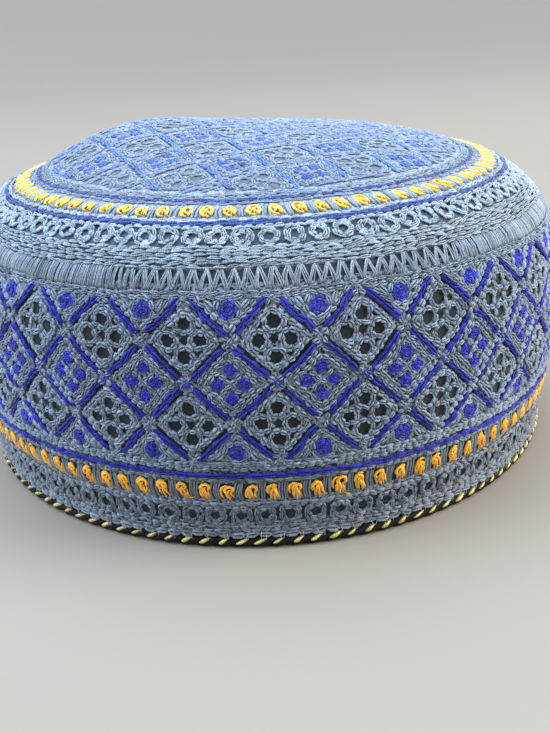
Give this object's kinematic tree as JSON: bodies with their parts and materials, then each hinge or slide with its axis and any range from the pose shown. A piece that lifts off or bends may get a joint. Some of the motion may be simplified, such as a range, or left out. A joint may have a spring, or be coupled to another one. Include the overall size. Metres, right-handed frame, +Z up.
{
  "type": "prayer cap",
  "caption": "Round embroidered prayer cap: domed crown, bulged side band and a cord round the open lower edge; hollow for the head.",
  "frame": {"origin": "on the floor under the centre of the cap, at the underside of the edge cord", "axes": "+Z up through the crown, -Y towards the front that the picture shows"},
  "size_m": [0.1854, 0.1854, 0.0945],
  "materials": {
    "crown_embroidery": "blue-grey cotton chain stitch on dark cloth",
    "band_embroidery": "blue-grey cotton chain stitch on dark cloth",
    "black_cord": "twisted black cord",
    "blue_thread": "royal blue embroidery thread",
    "yellow_thread": "golden yellow embroidery thread",
    "gold_thread": "metallic gold thread"
  },
  "bodies": {
    "root": {"crown": "crown_embroidery", "side_band": "band_embroidery", "edge_cord": "black_cord"}
  },
  "joints": []
}
